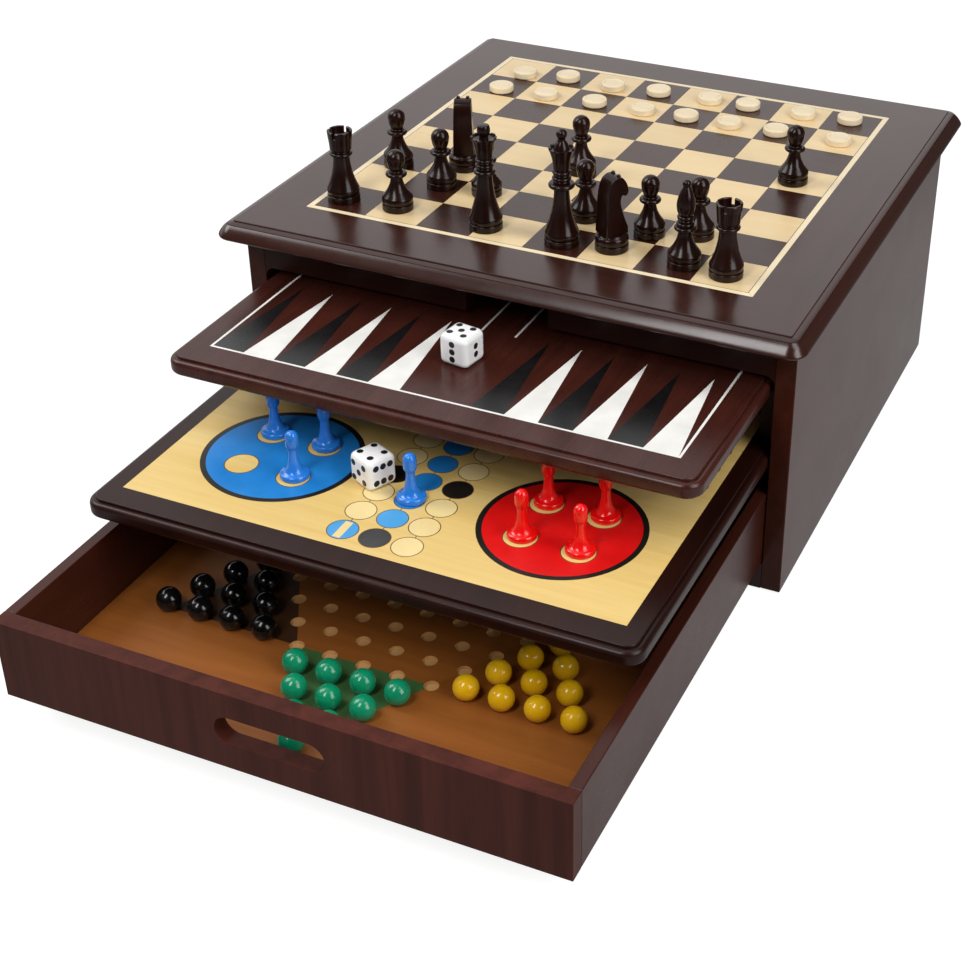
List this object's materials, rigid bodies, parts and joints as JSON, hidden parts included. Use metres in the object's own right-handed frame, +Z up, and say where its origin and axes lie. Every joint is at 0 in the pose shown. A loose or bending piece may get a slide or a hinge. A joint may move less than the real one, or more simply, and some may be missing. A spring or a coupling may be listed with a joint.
{
  "type": "games compendium box",
  "caption": "Wooden games cabinet with a moulded chess and draughts top, sliding backgammon and ludo boards, and a drawer with a star board for marbles",
  "frame": {"origin": "on the surface the box stands on, under the middle of the chess board", "axes": "+X right as seen from the drawer's side, +Y to the back, against the way the drawer opens, +Z up"},
  "size_m": [0.308, 0.5138, 0.2113],
  "materials": {
    "mahogany": "satin lacquer over fine straight grain",
    "dark_veneer": "satin lacquer",
    "pale_veneer": "satin lacquer",
    "pale_turned_wood": "satin lacquer",
    "dark_lacquered_wood": "gloss lacquer",
    "red_mahogany": "satin lacquer",
    "white_inlay": "flush and satin",
    "black_inlay": "flush and satin",
    "ivory_plastic": "polished",
    "ludo_frame_wood": "satin lacquer",
    "ludo_field_wood": "satin lacquer over printed spots",
    "blue_home": "satin",
    "red_home": "satin",
    "green_home": "satin",
    "yellow_home": "satin",
    "blue_plastic": "polished",
    "red_plastic": "polished",
    "green_plastic": "polished",
    "yellow_plastic": "polished",
    "drawer_wood": "satin lacquer",
    "drawer_floor_wood": "satin lacquer",
    "green_glass": "opaque and polished",
    "black_glass": "opaque and polished",
    "yellow_glass": "opaque and polished",
    "red_glass": "opaque and polished",
    "white_glass": "opaque and polished",
    "blue_glass": "opaque and polished"
  },
  "bodies": {
    "cabinet": {"back_panel": "mahogany", "base_panel": "mahogany", "batten_lower_left": "mahogany", "batten_lower_right": "mahogany", "batten_middle_left": "mahogany", "batten_middle_right": "mahogany", "batten_top_left": "mahogany", "batten_top_right": "mahogany", "chess_bishop": "dark_lacquered_wood", "chess_border": "pale_veneer", "chess_king": "dark_lacquered_wood", "chess_knights": "dark_lacquered_wood", "chess_pawns": "dark_lacquered_wood", "chess_queen": "dark_lacquered_wood", "chess_rooks": "dark_lacquered_wood", "draughts": "pale_turned_wood", "front_rail": "mahogany", "side_left": "mahogany", "side_right": "mahogany", "squares_dark": "dark_veneer", "squares_light": "pale_veneer", "top_board": "mahogany"},
    "backgammon_slide": {"backgammon_board": "red_mahogany", "backgammon_lines": "white_inlay", "points_dark": "black_inlay", "points_white": "white_inlay", "backgammon_die": "ivory_plastic"},
    "ludo_slide": {"ludo_board": "ludo_frame_wood", "ludo_die": "ivory_plastic", "ludo_field": "ludo_field_wood", "ludo_home_blue": "blue_home", "ludo_home_green": "green_home", "ludo_home_red": "red_home", "ludo_home_yellow": "yellow_home", "ludo_pawns_blue": "blue_plastic", "ludo_pawns_green": "green_plastic", "ludo_pawns_red": "red_plastic", "ludo_pawns_yellow": "yellow_plastic"},
    "drawer": {"drawer_back": "drawer_wood", "drawer_floor": "drawer_floor_wood", "drawer_front": "drawer_wood", "drawer_side_left": "drawer_wood", "drawer_side_right": "drawer_wood", "marbles_black": "black_glass", "marbles_blue": "blue_glass", "marbles_green": "green_glass", "marbles_red": "red_glass", "marbles_white": "white_glass", "marbles_yellow": "yellow_glass"}
  },
  "joints": [
    {"name": "backgammon_travel", "type": "slide", "parent": "cabinet", "child": "backgammon_slide", "axis": [0, -1, 0], "range_m": [-0.082, 0.09]},
    {"name": "ludo_travel", "type": "slide", "parent": "cabinet", "child": "ludo_slide", "axis": [0, -1, 0], "range_m": [-0.15, 0.05]},
    {"name": "drawer_travel", "type": "slide", "parent": "cabinet", "child": "drawer", "axis": [0, -1, 0], "range_m": [-0.2273, 0.01]}
  ]
}
